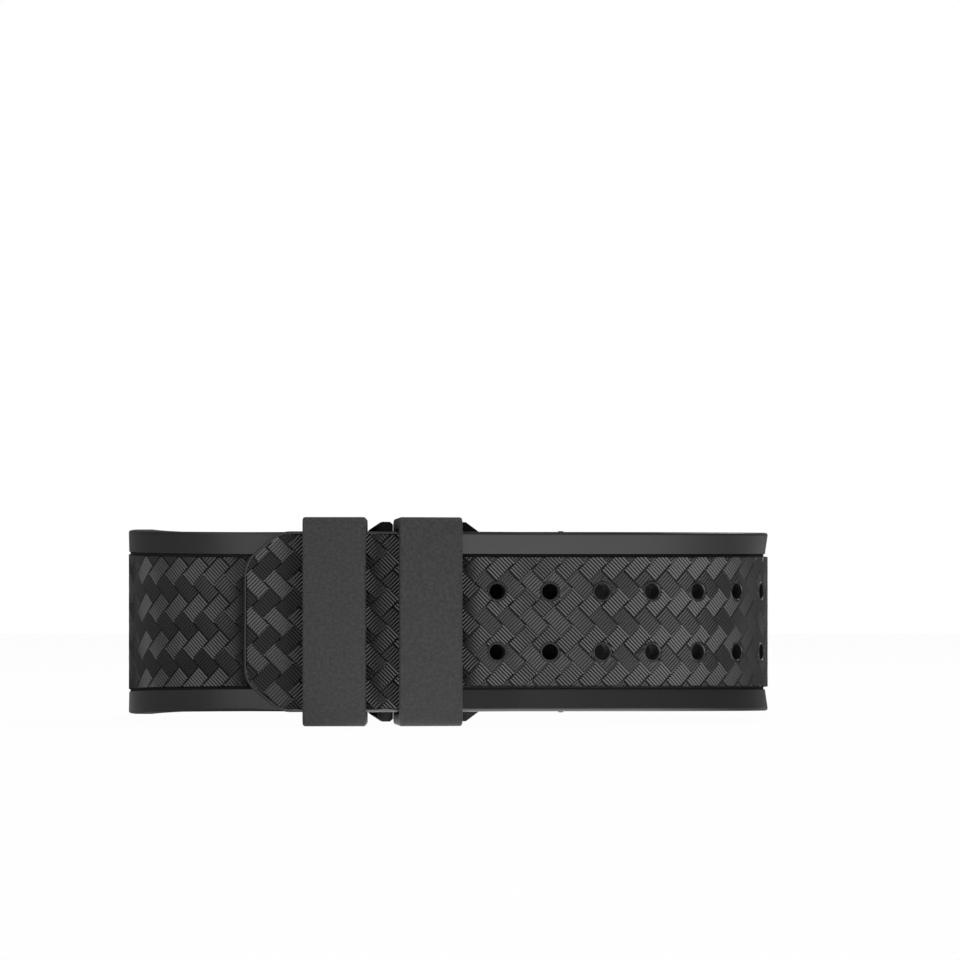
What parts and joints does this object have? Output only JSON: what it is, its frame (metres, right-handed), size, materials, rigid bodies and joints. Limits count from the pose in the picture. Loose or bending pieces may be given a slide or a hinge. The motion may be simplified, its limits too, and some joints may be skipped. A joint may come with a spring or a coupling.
{
  "type": "rubber watch strap",
  "caption": "Buckled rubber watch strap loop: woven-texture long strap with paired holes over a short strap, stud closure plate, wide keepers and sprung lug bars.",
  "frame": {"origin": "middle of the buckled loop's outline, on the surface that the keepers' lower edges stand on", "axes": "+Z along the strap's width and the spring bars; -Y is the closure side that the picture shows, +Y the watch side; +X to the right when seen from the closure"},
  "size_m": [0.0818, 0.051, 0.0254],
  "materials": {
    "strap_rubber": "matte moulded, woven relief",
    "keeper_rubber": "matte, fine grain",
    "black_steel": "black coated, satin",
    "spring_bar_steel": "turned, satin"
  },
  "bodies": {
    "closure": {"long_strap_front": "strap_rubber", "long_strap_bend": "strap_rubber", "short_strap_front": "strap_rubber", "short_strap_bend": "strap_rubber", "closure_plate": "black_steel", "closure_studs": "black_steel", "fixed_keeper": "keeper_rubber"},
    "long_strap_end": {"long_strap_lug_end": "strap_rubber"},
    "short_strap_end": {"short_strap_lug_end": "strap_rubber"},
    "floating_keeper": {"floating_keeper": "keeper_rubber"},
    "closure_bar": {"closure_bar_barrel": "spring_bar_steel", "closure_bar_spring": "spring_bar_steel"},
    "closure_bar_upper_tip": {"closure_bar_upper_tip": "spring_bar_steel"},
    "closure_bar_lower_tip": {"closure_bar_lower_tip": "spring_bar_steel"},
    "long_lug_bar": {"long_lug_bar_barrel": "spring_bar_steel", "long_lug_bar_spring": "spring_bar_steel"},
    "long_lug_bar_upper_tip": {"long_lug_bar_upper_tip": "spring_bar_steel"},
    "long_lug_bar_lower_tip": {"long_lug_bar_lower_tip": "spring_bar_steel"},
    "short_lug_bar": {"short_lug_bar_barrel": "spring_bar_steel", "short_lug_bar_spring": "spring_bar_steel"},
    "short_lug_bar_upper_tip": {"short_lug_bar_upper_tip": "spring_bar_steel"},
    "short_lug_bar_lower_tip": {"short_lug_bar_lower_tip": "spring_bar_steel"}
  },
  "joints": [
    {"name": "long_strap_flex", "type": "hinge", "parent": "closure", "child": "long_strap_end", "pos_m": [0.03918, 0.00347, 0.0127], "axis": [0, 0, 1], "range_deg": [-60, 12], "stiffness_Nm_per_rad": 0.02, "deforming": ["long_strap_bend"]},
    {"name": "short_strap_flex", "type": "hinge", "parent": "closure", "child": "short_strap_end", "pos_m": [-0.03925, 0.00002, 0.0127], "axis": [0, 0, 1], "range_deg": [-12, 60], "stiffness_Nm_per_rad": 0.02, "deforming": ["short_strap_bend"]},
    {"name": "floating_keeper_slide", "type": "slide", "parent": "closure", "child": "floating_keeper", "axis": [1, 0, 0], "range_m": [-0.005, 0]},
    {"name": "closure_bar_spin", "type": "hinge", "parent": "closure", "child": "closure_bar", "pos_m": [-0.00877, -0.01957, 0.0127], "axis": [0, 0, 1], "continuous": true},
    {"name": "closure_bar_upper_tip_press", "type": "slide", "parent": "closure_bar", "child": "closure_bar_upper_tip", "axis": [0, 0, -1], "range_m": [0, 0.0009], "stiffness_N_per_m": 1000, "springref_m": -0.0005, "deforming": ["closure_bar_spring"]},
    {"name": "closure_bar_lower_tip_press", "type": "slide", "parent": "closure_bar", "child": "closure_bar_lower_tip", "axis": [0, 0, 1], "range_m": [0, 0.0009], "stiffness_N_per_m": 1000, "springref_m": -0.0005, "deforming": ["closure_bar_spring"]},
    {"name": "long_lug_bar_spin", "type": "hinge", "parent": "long_strap_end", "child": "long_lug_bar", "pos_m": [0.01509, 0.02344, 0.0127], "axis": [0, 0, 1], "continuous": true},
    {"name": "long_lug_bar_upper_tip_press", "type": "slide", "parent": "long_lug_bar", "child": "long_lug_bar_upper_tip", "axis": [0, 0, -1], "range_m": [0, 0.0009], "stiffness_N_per_m": 1000, "springref_m": -0.0005, "deforming": ["long_lug_bar_spring"]},
    {"name": "long_lug_bar_lower_tip_press", "type": "slide", "parent": "long_lug_bar", "child": "long_lug_bar_lower_tip", "axis": [0, 0, 1], "range_m": [0, 0.0009], "stiffness_N_per_m": 1000, "springref_m": -0.0005, "deforming": ["long_lug_bar_spring"]},
    {"name": "short_lug_bar_spin", "type": "hinge", "parent": "short_strap_end", "child": "short_lug_bar", "pos_m": [-0.01571, 0.02362, 0.0127], "axis": [0, 0, 1], "continuous": true},
    {"name": "short_lug_bar_upper_tip_press", "type": "slide", "parent": "short_lug_bar", "child": "short_lug_bar_upper_tip", "axis": [0, 0, -1], "range_m": [0, 0.0009], "stiffness_N_per_m": 1000, "springref_m": -0.0005, "deforming": ["short_lug_bar_spring"]},
    {"name": "short_lug_bar_lower_tip_press", "type": "slide", "parent": "short_lug_bar", "child": "short_lug_bar_lower_tip", "axis": [0, 0, 1], "range_m": [0, 0.0009], "stiffness_N_per_m": 1000, "springref_m": -0.0005, "deforming": ["short_lug_bar_spring"]}
  ]
}
